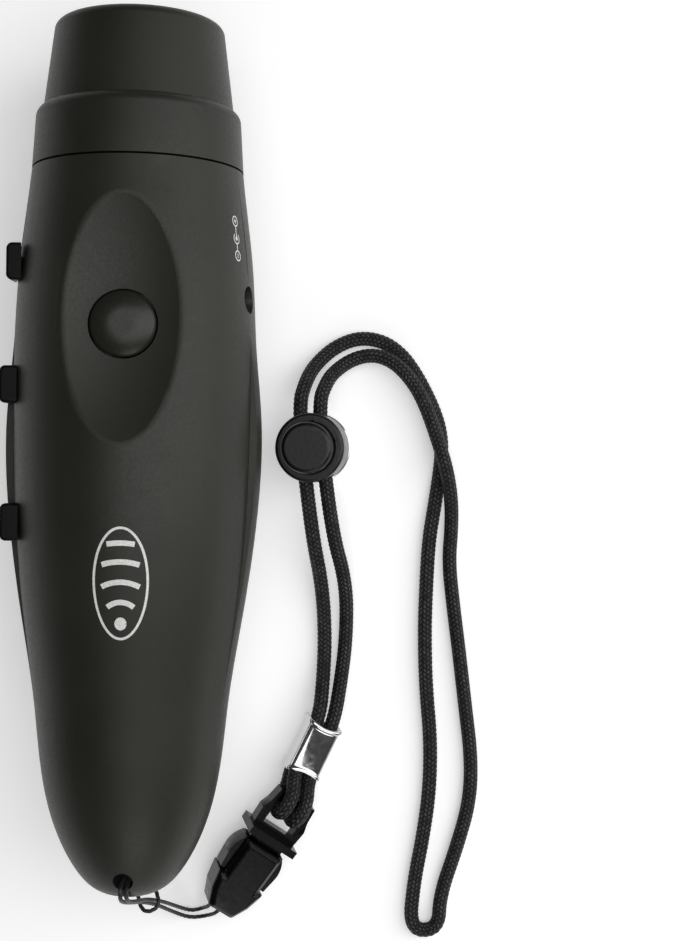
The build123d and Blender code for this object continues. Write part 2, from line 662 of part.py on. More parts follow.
with BuildPart() as dc_jack:
    with BuildSketch(Plane.XY.offset(BOARD_TOP_Z)):
        with Locations(((JACK_BACK_X + BOARD_HALF_WIDTH) / 2, JACK_Y)):
            RectangleRounded(BOARD_HALF_WIDTH - JACK_BACK_X, JACK_WIDTH, 0.4)
    extrude(amount=JACK_HEIGHT)
    with BuildSketch(Plane.YZ.offset(BOARD_HALF_WIDTH)):
        with Locations((JACK_Y, SPLIT_Z)):
            Circle(JACK_NOSE_RADIUS)
    extrude(amount=JACK_FRONT_X - BOARD_HALF_WIDTH)
    with BuildSketch(Plane.YZ.offset(JACK_FRONT_X)):
        with Locations((JACK_Y, SPLIT_Z)):
            Circle(JACK_ENTRY_RADIUS)
    extrude(amount=BOARD_HALF_WIDTH - JACK_FRONT_X, mode=Mode.SUBTRACT)
    with BuildSketch(Plane.YZ.offset(JACK_FRONT_X)):
        with Locations((JACK_Y, SPLIT_Z)):
            Circle(JACK_BORE_RADIUS)
    extrude(amount=-JACK_DEPTH, mode=Mode.SUBTRACT)
write_piece(dc_jack, "dc_jack")

with BuildPart() as dc_jack_pin:
    with BuildSketch(Plane.YZ.offset(JACK_FRONT_X - JACK_DEPTH)):
        with Locations((JACK_Y, SPLIT_Z)):
            Circle(JACK_PIN_RADIUS)
    extrude(amount=JACK_PIN_LENGTH)
    chamfer(dc_jack_pin.faces().sort_by(Axis.X)[-1].edges(), 0.25)
write_piece(dc_jack_pin, "dc_jack_pin")

# ---------------------------------------------------------------- battery and wiring
with BuildPart() as battery_cell:
    with BuildSketch(Plane.XZ.offset(-CELL_Y0)):
        with Locations((0, CELL_Z)):
            Circle(CELL_RADIUS)
    extrude(amount=CELL_Y0 - CELL_Y1)
    fillet(battery_cell.edges().filter_by(GeomType.CIRCLE), 0.5)
write_piece(battery_cell, "battery_cell")

with BuildPart() as battery_pad:
    with BuildSketch(Plane.XY):
        with Locations((0, -2)):
            Rectangle(10, 28)
    extrude(amount=CELL_Z - 1)
    with BuildSketch(Plane.XZ.offset(16)):
        with Locations((0, CELL_Z)):
            Circle(CELL_RADIUS + 0.02)
    extrude(amount=-28, mode=Mode.SUBTRACT)
    add(cavity.part, mode=Mode.INTERSECT)
write_piece(battery_pad, "battery_pad")


def wire_pair(route, half_gap, diameter):
    """Two wires side by side along one route of (y, z) points."""
    with BuildPart() as wires:
        for side in (-1, 1):
            with BuildLine() as run:
                FilletPolyline([(side * half_gap, y, z) for y, z in route], radius=1.2)
            with BuildSketch(Plane(origin=run.line @ 0, z_dir=run.line % 0)):
                Circle(diameter / 2)
            sweep(path=run.line)
    return wires


BATTERY_LEAD_ROUTE = [(CELL_Y0, 11.6), (-30.2, 11.6), (-32.6, 15.0), (-32.6, 20.8), (-29.4, 20.8)]
battery_leads = wire_pair(BATTERY_LEAD_ROUTE, 1.6, 1.0)
write_piece(battery_leads, "battery_leads")

SPEAKER_LEAD_ROUTE = [(BOARD_Y1, 20.6), (29.6, 20.6), (30.2, 26.4), (35.0, 26.4), (37.7, 25.8)]
speaker_leads = wire_pair(SPEAKER_LEAD_ROUTE, 3.0, 1.0)
write_piece(speaker_leads, "speaker_leads")

# ---------------------------------------------------------------- buckle
# Local x runs from the tip to the strap end, local y to the left, local z up.
def rolled_plane(origin, heading, roll):
    """A plane whose x runs along heading on the floor, with its left side lifted by roll."""
    left = Vector(-sin(radians(heading)), cos(radians(heading)), 0)
    up = Vector(0, 0, 1) * cos(radians(roll)) - left * sin(radians(roll))
    return Plane(origin=origin, x_dir=(cos(radians(heading)), sin(radians(heading)), 0), z_dir=up)


BUCKLE = rolled_plane((*BUCKLE_TIP, BUCKLE_Z), BUCKLE_ANGLE, BUCKLE_ROLL)


def buckle_slab(outline, half_thickness):
    """A slab of the given outline, as thick as it says, on the buckle's middle plane."""
    with BuildPart() as slab:
        with BuildSketch(BUCKLE):
            with BuildLine():
                Polyline(*outline, close=True)
            make_face()
        extrude(amount=half_thickness, both=True)
    return slab.part


def mirrored(outline):
    """Close one side's (along, across) points into a symmetrical outline."""
    return outline + [(along, -side) for along, side in reversed(outline)]


SHELL_OUTLINE = mirrored([
    (0, 2.2),
    (2.6, 3.5),
    (SHELL_SIDE, 4.25),
    (SHELL_SIDE, PLATE_HALF_WIDTH),
    (SHELL_END, PLATE_HALF_WIDTH),
])
SIDE_WINDOWS = mirrored([(SHELL_SIDE, 5.0), (SHELL_END + 1, 5.0)])
with BuildPart() as buckle_housing:
    add(buckle_slab(SHELL_OUTLINE, BUCKLE_HALF_THICKNESS))
    broad_faces = buckle_housing.faces().filter_by(BUCKLE)
    chamfer(broad_faces.edges(), 0.7)
    add(buckle_slab(SIDE_WINDOWS, WINDOW_HALF_HEIGHT), mode=Mode.SUBTRACT)
    add(buckle_slab(mirrored([(4.2, 1.5), (SHELL_END, 1.5)]), 1.35), mode=Mode.SUBTRACT)
    add(buckle_slab(mirrored([(-1, 1.5), (3.2, 1.5)]), 0.6), mode=Mode.SUBTRACT)
    with BuildSketch(BUCKLE):
        with Locations((1.8, 0)):
            Circle(0.5)
    extrude(amount=1.0, both=True)
write_piece(buckle_housing, "buckle_housing")

TONGUE_START = SHELL_END + 1.6 - BUCKLE_TRAVEL
with BuildPart() as buckle_insert:
    add(buckle_slab(mirrored([(TONGUE_START, 1.3), (12.2, 1.3), (12.2, 3.0), (13.1, 3.0)]), 1.2))
    add(buckle_slab(mirrored([(13.1, 4.3), (14.3, 4.3)]), BUCKLE_HALF_THICKNESS))
    add(buckle_slab(mirrored([(14.3, 3.9), (17.1, 4.1), (18.6, 3.6), (21.0, 3.3)]), 1.2))
    add(buckle_slab(mirrored([(15.3, 2.65), (22, 2.65)]), 4), mode=Mode.SUBTRACT)
    with BuildSketch(Plane(origin=BUCKLE.from_local_coords((BAR_S, -3.3, 0)), z_dir=BUCKLE.y_dir)):
        Circle(BAR_RADIUS)
    extrude(amount=6.6)
write_piece(buckle_insert, "buckle_insert")

for name, side in (("latch_arm_left", 1), ("latch_arm_right", -1)):
    root_middle = side * (ARM_INNER + ARM_OUTER) / 2
    root_radius = (ARM_OUTER - ARM_INNER) / 2
    with BuildPart() as arm:
        with BuildSketch(BUCKLE):
            with BuildLine():
                Polyline((6.0, side * ARM_INNER), (6.0, side * 4.2), (8.4, side * 4.5))
                ThreePointArc((8.4, side * 4.5), (10.4, side * 4.35), (ARM_ROOT, side * ARM_OUTER))
                ThreePointArc(
                    (ARM_ROOT, side * ARM_OUTER),
                    (ARM_ROOT + root_radius, root_middle),
                    (ARM_ROOT, side * ARM_INNER),
                )
                Line((ARM_ROOT, side * ARM_INNER), (6.0, side * ARM_INNER))
            make_face()
        extrude(amount=WINDOW_HALF_HEIGHT - 0.15, both=True)
    write_piece(arm, name)

# ---------------------------------------------------------------- ferrule
FERRULE_LENGTH = (Vector(*FERRULE_END) - Vector(*FERRULE_START)).length
FERRULE_HEADING = degrees(atan2(FERRULE_END[1] - FERRULE_START[1], FERRULE_END[0] - FERRULE_START[0]))
FERRULE = rolled_plane((*FERRULE_START, FERRULE_Z), FERRULE_HEADING, FERRULE_ROLL)
FERRULE_SECTION = Plane(origin=FERRULE.origin, x_dir=FERRULE.y_dir, z_dir=FERRULE.x_dir)

with BuildPart() as ferrule:
    with BuildSketch(FERRULE_SECTION):
        RectangleRounded(FERRULE_WIDTH, FERRULE_WIDTH, 1.4)
        RectangleRounded(FERRULE_WIDTH - 2 * FERRULE_WALL, FERRULE_WIDTH - 2 * FERRULE_WALL, 1.1,
                         mode=Mode.SUBTRACT)
    extrude(amount=FERRULE_LENGTH)
    for rim_start in (0, FERRULE_LENGTH - RIM_LENGTH):
        with BuildSketch(FERRULE_SECTION.offset(rim_start)):
            RectangleRounded(FERRULE_WIDTH + 2 * RIM_HEIGHT, FERRULE_WIDTH + 2 * RIM_HEIGHT, 1.7)
            RectangleRounded(FERRULE_WIDTH - 0.1, FERRULE_WIDTH - 0.1, 1.35, mode=Mode.SUBTRACT)
        extrude(amount=RIM_LENGTH)
write_piece(ferrule, "ferrule")

# ---------------------------------------------------------------- cord lock
LOCK = Plane(
    origin=(LOCK_CENTRE[0], LOCK_CENTRE[1], LOCK_Z),
    x_dir=(cos(radians(LOCK_LEAN)) * cos(radians(LOCK_HEADING)),
           cos(radians(LOCK_LEAN)) * sin(radians(LOCK_HEADING)),
           sin(radians(LOCK_LEAN))),
    z_dir=(-sin(radians(LOCK_LEAN)) * cos(radians(LOCK_HEADING)),
           -sin(radians(LOCK_LEAN)) * sin(radians(LOCK_HEADING)),
           cos(radians(LOCK_LEAN))),
)
SLOT_HALF_WIDTH = LOCK_STRAND + CORD / 2 + CORD_GAP


def lock_level(height):
    """Plane across the cord lock, at a height over its strands."""
    return LOCK.offset(height)


def strand_slot(bottom, top):
    """The passage for both strands through the cord lock, from bottom to top."""
    with BuildPart() as passage:
        with BuildSketch(lock_level(bottom)):
            Rectangle(2 * SLOT_HALF_WIDTH, 14)
        extrude(amount=top - bottom)
    return passage.part


with BuildPart() as cord_lock_barrel:
    with BuildSketch(lock_level(LOCK_BOTTOM + 0.6)):
        Circle(LOCK_RADIUS)
    extrude(amount=LOCK_TOP - LOCK_BOTTOM - 0.6)
    fillet(cord_lock_barrel.faces().sort_by(Axis.Z)[-1].edges(), 0.5)
    with BuildSketch(lock_level(LOCK_BOTTOM + 1.6)):
        Circle(LOCK_BORE)
    extrude(amount=12, mode=Mode.SUBTRACT)
    add(strand_slot(-CORD / 2 - CORD_GAP, CORD / 2 + CORD_GAP), mode=Mode.SUBTRACT)
    with BuildSketch(lock_level(LOCK_BOTTOM + 0.6)):
        Circle(LOCK_RADIUS + 1)
        Circle(LOCK_RADIUS - 0.45, mode=Mode.SUBTRACT)
    extrude(amount=1.8, mode=Mode.SUBTRACT)
write_piece(cord_lock_barrel, "cord_lock_barrel")

with BuildPart() as cord_lock_ring:
    with BuildSketch(lock_level(LOCK_BOTTOM)):
        Circle(LOCK_RADIUS + 0.15)
    extrude(amount=2.35)
    fillet(cord_lock_ring.edges(), 0.25)
    with BuildSketch(lock_level(LOCK_BOTTOM + 0.6)):
        Circle(LOCK_RADIUS - 0.45)
    extrude(amount=2, mode=Mode.SUBTRACT)
write_piece(cord_lock_ring, "cord_lock_ring")

with BuildPart() as cord_lock_plunger:
    with BuildSketch(lock_level(-2.1)):
        Circle(PLUNGER_RADIUS)
    extrude(amount=PLUNGER_TOP + 2.1)
    fillet(cord_lock_plunger.faces().sort_by(Axis.Z)[-1].edges(), 0.7)
    add(strand_slot(-CORD / 2 - CORD_GAP, CORD / 2 + CORD_GAP + PRESS_TRAVEL), mode=Mode.SUBTRACT)
write_piece(cord_lock_plunger, "cord_lock_plunger")

with BuildPart() as cord_lock_spring:
    with BuildLine() as coil:
        Helix(pitch=0.78, height=2.1, radius=2.6)
    with BuildSketch(Plane(origin=coil.line @ 0, z_dir=coil.line % 0)):
        Circle(0.17)
    sweep(path=coil.line)
cord_lock_spring.part = lock_level(-4.4) * cord_lock_spring.part
write_piece(cord_lock_spring, "cord_lock_spring")


# ---------------------------------------------------------------- cords
def corner_radii(route):
    """The largest arc that each corner's two runs allow."""
    radii = []
    for before, corner, after in zip(route, route[1:], route[2:]):
        inward = Vector(*corner) - Vector(*before)
        outward = Vector(*after) - Vector(*corner)
        half_turn = radians(inward.get_angle(outward) / 2)
        radii.append(0.45 * min(inward.length, outward.length) / tan(half_turn))
    return radii


def lay_cord(name, route, diameter):
    """Sweep a cord's tube along its route and write it."""
    radii = corner_radii(route)
    with BuildPart() as cord:
        with BuildLine() as run:
            FilletPolyline(*route, radius=radii)
        with BuildSketch(Plane(origin=run.line @ 0, z_dir=run.line % 0)):
            Circle(diameter / 2)
        sweep(path=run.line)
    section = pi * diameter**2 / 4
    length = sum(edge.length for edge in run.line.edges())
    print(name, "length", round(length, 1), "volume over section", round(cord.part.volume / section, 1))
    print(name, "radii", [round(radius, 1) for radius in radii])
    write_piece(cord, name)


def on_plane(plane, *local_points):
    """World coordinates of points given on a local plane."""
    return [tuple(round(value, 2) for value in plane.from_local_coords(Vector(*p))) for p in local_points]


def bar_fold(side):
    """The strand on one side, from the ferrule round the buckle's bar and back, low leg first."""
    leg = FERRULE_LENGTH - 1.5
    return (
        on_plane(FERRULE, (leg, side * STRAND, -STRAND), (0, side * STRAND, -STRAND))
        + on_plane(
            BUCKLE,
            (BAR_S + 1.0, side * FOLD_STRAND, -FOLD),
            (BAR_S - FOLD - 0.1, side * FOLD_STRAND, -FOLD),
            (BAR_S - FOLD - 0.1, side * FOLD_STRAND, FOLD),
            (BAR_S + 1.0, side * FOLD_STRAND, FOLD),
        )
        + on_plane(FERRULE, (0, side * STRAND, STRAND), (FERRULE_LENGTH, side * STRAND, STRAND))
    )


LOCK_RUN_START = -LOCK_TRAVEL - LOCK_RADIUS - 2.55
LOCK_RUN_END = LOCK_RADIUS + 1.05
LOCK_LEFT = on_plane(LOCK, (-LOCK_STRAND, LOCK_RUN_START, 0), (-LOCK_STRAND, LOCK_RUN_END, 0))
LOCK_RIGHT = on_plane(LOCK, (LOCK_STRAND, LOCK_RUN_END, 0), (LOCK_STRAND, LOCK_RUN_START, 0))

WRIST_CORD_ROUTE = bar_fold(1) + [
    (28.1, -37.6, 1.8),
    (28.35, -30.5, 1.2),
    (27.8, -22.3, 2.6),
] + LOCK_LEFT + [
    (24.9, 10.2, 4.4),
    (26.5, 12.9, 2.2),
    (29.4, 15.6, 1.2),
    (33.2, 17.1, 1.2),
    (37.1, 16.5, 1.2),
    (40.0, 14.4, 1.2),
    (42.0, 11.7, 1.2),
    (43.6, 8.9, 1.2),
    (45.1, 5.8, 1.2),
    (46.2, 2.5, 1.2),
    (46.5, -1.0, 1.2),
    (46.1, -5.0, 1.2),
    (45.4, -9.8, 1.2),
    (44.6, -15.0, 1.2),
    (44.3, -21.5, 1.2),
    (44.1, -29.2, 1.2),
    (44.4, -38.0, 1.2),
    (45.3, -46.8, 1.2),
    (45.2, -55.0, 1.2),
    (44.2, -62.4, 1.2),
    (42.9, -69.4, 1.2),
    (42.3, -76.9, 1.2),
    (46.9, -76.8, 1.2),
    (47.1, -71.2, 1.2),
    (49.6, -63.8, 1.2),
    (51.6, -56.5, 1.2),
    (51.8, -49.6, 1.2),
    (50.7, -41.2, 1.2),
    (49.7, -33.2, 1.2),
    (48.6, -25.2, 1.2),
    (47.8, -18.4, 1.2),
    (48.2, -12.6, 1.3),
    (48.0, -8.2, 2.4),
    (47.2, -4.0, 3.7),
    (46.1, -0.4, 3.8),
    (45.0, 2.8, 3.8),
    (43.8, 6.0, 3.8),
    (42.3, 9.0, 3.8),
    (40.3, 11.6, 3.6),
    (38.0, 13.5, 3.0),
    (35.2, 14.3, 2.4),
    (32.2, 13.6, 2.2),
    (29.6, 11.8, 2.8),
    (28.2, 10.0, 4.4),
] + LOCK_RIGHT + [
    (31.6, -21.9, 2.6),
    (31.7, -30.5, 1.2),
    (30.9, -37.6, 1.8),
] + bar_fold(-1)[::-1]
lay_cord("wrist_cord", WRIST_CORD_ROUTE, CORD)

# The thin loop starts and ends round the post in the buckle's tip. Its two strands go up over the
# tail's tip, down the tunnel, and back round the tip as a bight that they pass through.
THREAD_GAP = 0.45
THREAD_LEFT = on_plane(BUCKLE, (2.0, -0.95, 0), (-0.9, -0.95, -0.2)) + [
    (10.2, -75.1, 0.9),
    (7.4, -75.6, 0.6),
    (5.0, -73.9, 3.4),
    (2.9, -71.3, 8.6),
    (1.2, -69.4, 14.0),
    (0.2, -68.3, 18.6),
    (-THREAD_GAP, -67.1, 22.6),
    (-THREAD_GAP, -66.1, 24.9),
    (-THREAD_GAP, -64.95, 25.35),
    (-THREAD_GAP, -64.2, 24.5),
    (-THREAD_GAP, -64.2, 9.6),
]
BIGHT = [
    (-THREAD_GAP - 0.1, -66.2, 8.6),
    (0.1, -68.7, 10.6),
    (1.3, -71.6, 12.7),
    (4.0, -70.6, 12.7),
    (2.9, -67.9, 10.6),
    (THREAD_GAP + 0.2, -66.2, 8.6),
]
THREAD_RIGHT = [
    (THREAD_GAP, -64.2, 9.6),
    (THREAD_GAP, -64.2, 24.5),
    (THREAD_GAP, -64.95, 25.35),
    (THREAD_GAP, -66.1, 24.9),
    (THREAD_GAP + 0.1, -67.1, 22.6),
    (1.2, -68.1, 18.6),
    (2.1, -69.0, 14.0),
    (3.8, -70.8, 8.6),
    (5.8, -73.1, 3.4),
    (7.7, -74.5, 0.6),
    (9.7, -73.8, 0.9),
] + on_plane(BUCKLE, (-0.9, 0.95, -0.2), (2.7, 0.95, 0), (2.7, -0.6, 0))
lay_cord("tail_loop", THREAD_LEFT + BIGHT + THREAD_RIGHT, THREAD)
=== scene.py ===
import json
import math

import bpy
import numpy as np
from mathutils import Matrix, Vector


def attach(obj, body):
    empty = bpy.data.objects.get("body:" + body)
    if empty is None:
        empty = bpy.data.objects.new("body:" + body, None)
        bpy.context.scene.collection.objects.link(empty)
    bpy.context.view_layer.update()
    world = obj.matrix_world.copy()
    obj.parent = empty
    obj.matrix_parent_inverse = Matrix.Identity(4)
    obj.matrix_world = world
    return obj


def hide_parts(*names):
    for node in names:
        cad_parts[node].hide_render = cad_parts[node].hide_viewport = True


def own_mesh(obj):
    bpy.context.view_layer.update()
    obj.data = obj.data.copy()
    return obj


# Electronic training whistle with its wrist lanyard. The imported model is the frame, in metres.
# Sizes below are in millimetres and become metres through MM.

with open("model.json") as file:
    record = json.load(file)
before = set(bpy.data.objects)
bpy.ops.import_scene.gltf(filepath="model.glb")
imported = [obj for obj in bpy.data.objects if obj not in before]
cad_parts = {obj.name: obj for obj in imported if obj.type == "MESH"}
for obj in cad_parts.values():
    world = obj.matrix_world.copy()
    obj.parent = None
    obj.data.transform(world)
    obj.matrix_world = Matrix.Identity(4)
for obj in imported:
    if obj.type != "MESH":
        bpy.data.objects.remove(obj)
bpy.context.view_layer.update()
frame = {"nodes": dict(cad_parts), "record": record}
nodes = frame["nodes"]

MM = 0.001
AXIS_Z = 18.1                # height of the whistle's long axis

# Lanyard, as in the CAD; angles are in degrees
CORD = 2.3                   # diameter of the wrist cord
THREAD = 0.65                # diameter of the thread through the tail
THREAD_GAP = 0.45            # of the thread's two runs from the middle of the tail
THREAD_GRIP = 0.95           # of the same two runs from the buckle's middle
BUCKLE_TIP = (12.0, -72.4, 4.55)
BUCKLE_ANGLE = 54.3
BUCKLE_ROLL = 17.0
BAR_S = 20.0                 # from the buckle's tip to the bar that the cord folds round
FOLD = 2.3                   # from the bar's middle to the cord's, above, below and beyond it
FOLD_STRAND = 1.35           # from the buckle's middle to each of the two folds
STRAND = 1.25                # from the ferrule's middle to each leg, both ways
LEG_SHORT = 1.5              # the cord's ends stop this far inside the ferrule
FERRULE_START = (24.6, -51.6, 3.45)
FERRULE_END = (28.4, -43.5, 3.45)
FERRULE_ROLL = 14.0
LOCK_CENTRE = (26.0, -0.6, 7.0)
LOCK_LEAN = 7.0
LOCK_HEADING = 7.0
LOCK_RADIUS = 5.35
LOCK_TRAVEL = 5.0
LOCK_STRAND = 1.55           # from the lock's middle to each strand
LOCK_RUN_BEFORE = 2.55       # straight cord beyond the lock at the end of its travel
LOCK_RUN_AFTER = 1.05


def local_frame(origin, x_axis, up):
    """A matrix whose columns are x_axis, its left and up, placed at origin, in millimetres."""
    x_axis = Vector(x_axis).normalized()
    up = Vector(up).normalized()
    turn = Matrix((x_axis, up.cross(x_axis), up)).transposed().to_4x4()
    return Matrix.Translation(Vector(origin)) @ turn


def rolled_frame(origin, heading, roll):
    """A frame whose x runs along heading on the floor, with its left side lifted by roll."""
    heading = math.radians(heading)
    roll = math.radians(roll)
    left = Vector((-math.sin(heading), math.cos(heading), 0))
    up = Vector((0, 0, 1)) * math.cos(roll) - left * math.sin(roll)
    return local_frame(origin, (math.cos(heading), math.sin(heading), 0), up)


def place(local, *points):
    """Points of a local frame in the row frame."""
    return [tuple(local @ Vector(point)) for point in points]


def leaning_frame(origin, lean, heading):
    """A frame leaning to -X by lean, then turned about the vertical by heading."""
    lean = math.radians(lean)
    heading = math.radians(heading)
    x_axis = (math.cos(lean) * math.cos(heading), math.cos(lean) * math.sin(heading), math.sin(lean))
    up = (-math.sin(lean) * math.cos(heading), -math.sin(lean) * math.sin(heading), math.cos(lean))
    return local_frame(origin, x_axis, up)


ferrule_run = Vector(FERRULE_END) - Vector(FERRULE_START)
ferrule_length = ferrule_run.length
ferrule_heading = math.degrees(math.atan2(ferrule_run.y, ferrule_run.x))
buckle_frame = rolled_frame(BUCKLE_TIP, BUCKLE_ANGLE, BUCKLE_ROLL)
ferrule_frame = rolled_frame(FERRULE_START, ferrule_heading, FERRULE_ROLL)
lock_frame = leaning_frame(LOCK_CENTRE, LOCK_LEAN, LOCK_HEADING)


# ---------------------------------------------------------------- materials
def new_material(name, color, roughness, metallic=0.0, specular=0.5):
    """A principled material and the parts of it that the callers connect."""
    material = bpy.data.materials.new(name)
    material.use_nodes = True
    tree = material.node_tree
    shader = tree.nodes["Principled BSDF"]
    shader.inputs["Base Color"].default_value = (*color, 1)
    shader.inputs["Roughness"].default_value = roughness
    shader.inputs["Metallic"].default_value = metallic
    shader.inputs["Specular IOR Level"].default_value = specular
    return material, tree, shader


def add_node(tree, kind, **settings):
    """A node of the given kind, with its settings and its inputs' values."""
    node = tree.nodes.new(kind)
    for key, value in settings.items():
        if key.startswith("in_"):
            node.inputs[key[3:].replace("_", " ")].default_value = value
        else:
            setattr(node, key, value)
    return node


def noise(tree, scale, detail=3.0, stretch=(1, 1, 1)):
    """Noise over the object's own coordinates; scale is in waves per millimetre."""
    place_node = add_node(tree, "ShaderNodeTexCoord")
    mapping = add_node(tree, "ShaderNodeMapping")
    mapping.inputs["Scale"].default_value = [part * scale / MM for part in stretch]
    texture = add_node(tree, "ShaderNodeTexNoise", in_Scale=1.0, in_Detail=detail)
    tree.links.new(place_node.outputs["Object"], mapping.inputs["Vector"])
    tree.links.new(mapping.outputs["Vector"], texture.inputs["Vector"])
    return texture.outputs["Fac"]


def spread(tree, factor, low, high):
    """A number from low to high as a noise factor goes from its dim to its bright parts."""
    node = add_node(tree, "ShaderNodeMapRange")
    node.inputs["From Min"].default_value = 0.3
    node.inputs["From Max"].default_value = 0.7
    node.inputs["To Min"].default_value = low
    node.inputs["To Max"].default_value = high
    tree.links.new(factor, node.inputs["Value"])
    return node.outputs["Result"]


def tint(tree, factor, dark, light):
    """A colour from dark to light."""
    node = add_node(tree, "ShaderNodeMix", data_type="RGBA")
    node.inputs["A"].default_value = (*dark, 1)
    node.inputs["B"].default_value = (*light, 1)
    tree.links.new(factor, node.inputs["Factor"])
    return node.outputs["Result"]


def bump(tree, height, depth, shader):
    """Bump the shader's surface by a height; depth is in millimetres."""
    node = add_node(tree, "ShaderNodeBump", in_Distance=depth * MM, in_Strength=1.0)
    tree.links.new(height, node.inputs["Height"])
    tree.links.new(node.outputs["Normal"], shader.inputs["Normal"])


MOTTLE = 0.18                # part by which a moulding's colour varies
SCRATCH_DEPTH = 0.004        # in metal


def moulded(name, color, roughness, grain=3.0, depth=0.012, specular=0.5):
    """Moulded plastic: fine grain in its height and roughness, slow mottling in its colour."""
    material, tree, shader = new_material(name, color, roughness, specular=specular)
    fine = noise(tree, grain)
    slow = noise(tree, 0.06, detail=4.0)
    dark = [part * (1 - MOTTLE) for part in color]
    light = [part * (1 + MOTTLE) for part in color]
    tree.links.new(tint(tree, spread(tree, slow, 0, 1), dark, light), shader.inputs["Base Color"])
    tree.links.new(spread(tree, fine, roughness - 0.05, roughness + 0.06), shader.inputs["Roughness"])
    bump(tree, fine, depth, shader)
    return material


def metal(name, color, roughness, stretch=(1, 1, 1), scale=1.5):
    """Plated or polished metal with fine scratches drawn out along one axis."""
    material, tree, shader = new_material(name, color, roughness, metallic=1.0)
    scratches = noise(tree, scale, detail=5.0, stretch=stretch)
    tree.links.new(spread(tree, scratches, roughness * 0.6, roughness * 1.5), shader.inputs["Roughness"])
    bump(tree, scratches, SCRATCH_DEPTH, shader)
    return material


SOFT_BLACK = (0.0150, 0.0151, 0.0105)
casing_finish = moulded("soft_touch_casing", SOFT_BLACK, 0.46, grain=2.4, depth=0.010, specular=0.36)
button_finish = moulded("soft_touch_button", SOFT_BLACK, 0.34, grain=2.4, depth=0.006, specular=0.36)
knob_finish = moulded("satin_knob", (0.002, 0.002, 0.002), 0.34, grain=3.0, depth=0.008, specular=0.12)
buckle_finish = moulded("buckle_acetal", (0.002, 0.002, 0.002), 0.24, grain=1.2, depth=0.008, specular=0.2)
lock_finish = moulded(
    "cord_lock_plastic", (0.004, 0.004, 0.004), 0.32, grain=2.2, depth=0.014, specular=0.35
)
grille_finish = moulded("grille_paint", (0.02, 0.02, 0.02), 0.5, grain=4.0)
horn_finish = moulded("horn_plastic", (0.02, 0.02, 0.02), 0.5)
foam_finish = moulded("foam", (0.03, 0.03, 0.03), 0.9, grain=1.2, depth=0.08)
chip_finish = moulded("moulded_chip", (0.02, 0.02, 0.022), 0.45)
jack_finish = moulded("jack_plastic", (0.010, 0.010, 0.010), 0.4)
board_finish = moulded("solder_mask", (0.015, 0.13, 0.06), 0.25, grain=0.5, depth=0.02)
battery_finish = moulded("shrink_sleeve", (0.05, 0.13, 0.4), 0.3, grain=0.3, depth=0.03)
wire_finish = moulded("wire_insulation", (0.35, 0.02, 0.02), 0.4, grain=0.8)
steel_finish = metal("plated_steel", (0.62, 0.62, 0.63), 0.28)
diaphragm_finish = metal("diaphragm_foil", (0.75, 0.76, 0.78), 0.2, scale=0.8)
ferrule_finish = metal("polished_ferrule", (0.62, 0.62, 0.63), 0.12, stretch=(1, 1, 0.3), scale=1.2)
ring_finish = metal("polished_ring", (0.85, 0.85, 0.86), 0.12)


def printed(name):
    """White ink with slightly worn edges."""
    material, tree, shader = new_material(name, (0.75, 0.75, 0.74), 0.55)
    wear = spread(tree, noise(tree, 4.0, detail=4.0), 0, 1)
    tree.links.new(tint(tree, wear, (0.6, 0.6, 0.59), (0.85, 0.85, 0.84)), shader.inputs["Base Color"])
    return material


ink = printed("white_ink")

FINISHES = {
    "casing": casing_finish,
    "button": button_finish,
    "knob": knob_finish,
    "grille": grille_finish,
    "horn": horn_finish,
    "foam": foam_finish,
    "diaphragm": diaphragm_finish,
    "steel": steel_finish,
    "board": board_finish,
    "chip": chip_finish,
    "jack": jack_finish,
    "battery": battery_finish,
    "wire": wire_finish,
    "buckle": buckle_finish,
    "ferrule": ferrule_finish,
    "lock": lock_finish,
    "lock_ring": ring_finish,
}

for entry in frame["record"]["subparts"]:
    finish = FINISHES.get(entry["material_slot"])
    if finish is None:
        continue
    node = nodes[entry["node"]]
    if not node.material_slots:
        node.data.materials.append(finish)
    for material_slot in node.material_slots:
        material_slot.material = finish


BEVELS = {                   # width of the rounding on each piece's edges
    "buckle_housing": 0.3,
    "buckle_insert": 0.3,
    "latch_arm_left": 0.22,
    "latch_arm_right": 0.22,
    "cord_lock_barrel": 0.12,
    "cord_lock_plunger": 0.12,
    "power_knob": 0.12,
    "volume_knob": 0.12,
    "tone_knob": 0.12,
}
WELD_GAP = 0.002
BEVEL_ANGLE = 35             # degrees; an edge that bends less stays as it is
for node_name, width in BEVELS.items():
    weld = nodes[node_name].modifiers.new("joined_faces", "WELD")
    weld.merge_threshold = WELD_GAP * MM
    bevel = nodes[node_name].modifiers.new("rounded_edges", "BEVEL")
    bevel.width = width * MM
    bevel.segments = 3
    bevel.limit_method = "ANGLE"
    bevel.angle_limit = math.radians(BEVEL_ANGLE)
    bevel.harden_normals = True


# ---------------------------------------------------------------- meshes
def add_mesh(name, vertices, faces, material):
    """A smooth mesh object from vertices in millimetres."""
    mesh = bpy.data.meshes.new(name)
    mesh.from_pydata([Vector(vertex) * MM for vertex in vertices], [], faces)
    mesh.materials.append(material)
    mesh.shade_smooth()
    piece = bpy.data.objects.new(name, mesh)
    bpy.context.collection.objects.link(piece)
    return piece


